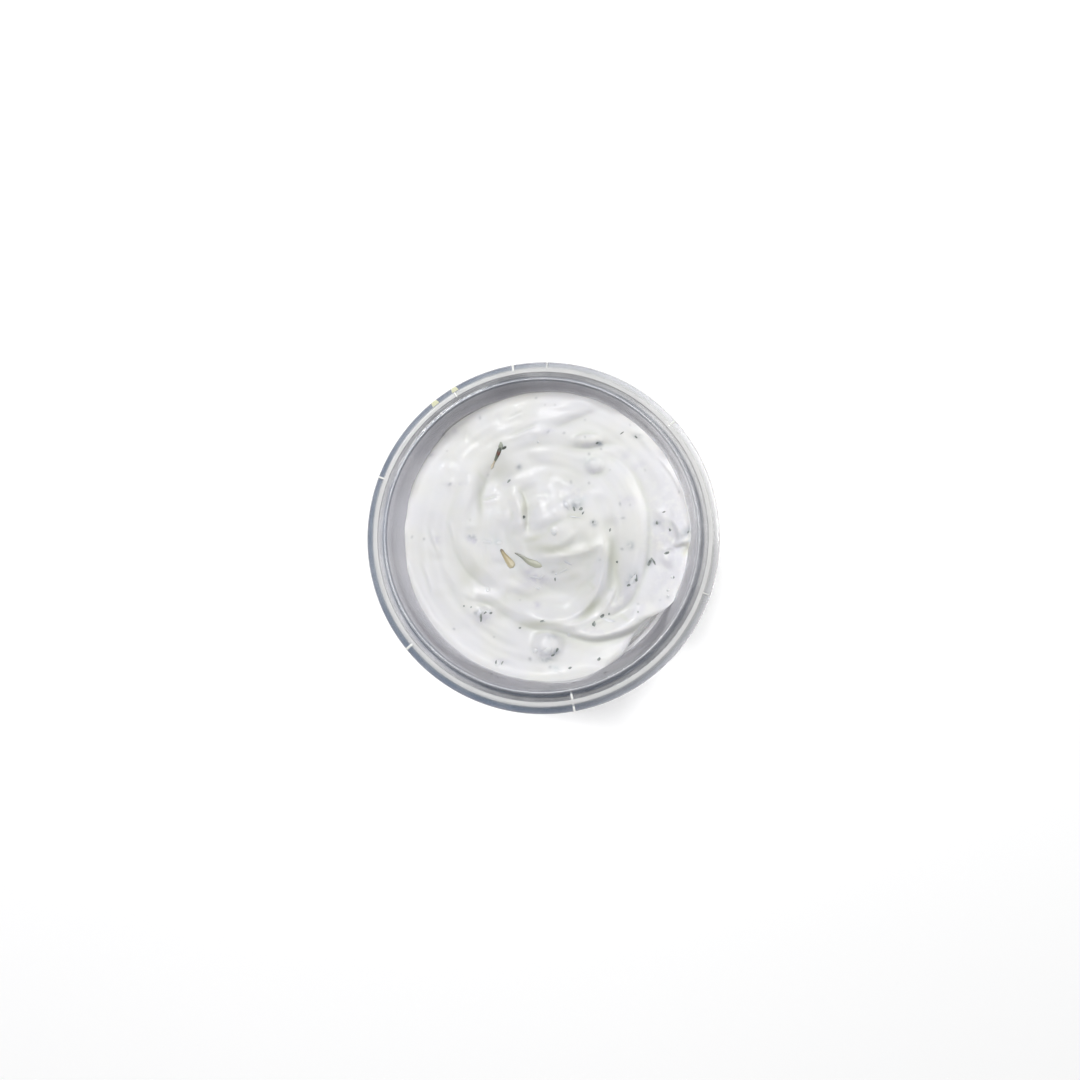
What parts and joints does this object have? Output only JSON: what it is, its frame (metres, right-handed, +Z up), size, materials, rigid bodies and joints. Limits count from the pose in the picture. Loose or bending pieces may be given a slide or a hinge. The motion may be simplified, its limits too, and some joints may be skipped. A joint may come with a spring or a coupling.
{
  "type": "dish of shallot yogurt dip",
  "caption": "Round clear plastic tub with a rim for a press-on lid, filled with a thick white yogurt dip swirled with a spoon and flecked with herbs and shallot; stands on its flat base.",
  "frame": {"origin": "centre of the flat underside of the tub", "axes": "+Z up along the tub's axis; +Y towards the top of the picture, +X to its right"},
  "size_m": [0.118, 0.118, 0.048],
  "materials": {
    "clear_plastic": "clear polypropylene, slightly hazy and smoky",
    "yogurt_dip": "thick wet strained yogurt, soft sheen, milky",
    "shallot": "wet, slightly see-through beige shallot",
    "shallot_skin": "wet olive-green shallot skin",
    "herb": "dark dried green herb leaf"
  },
  "bodies": {
    "root": {"tub": "clear_plastic", "dip": "yogurt_dip", "shallot_strip": "shallot", "shallot_skin_strip": "shallot_skin", "herb_sprig": "herb"}
  },
  "joints": []
}
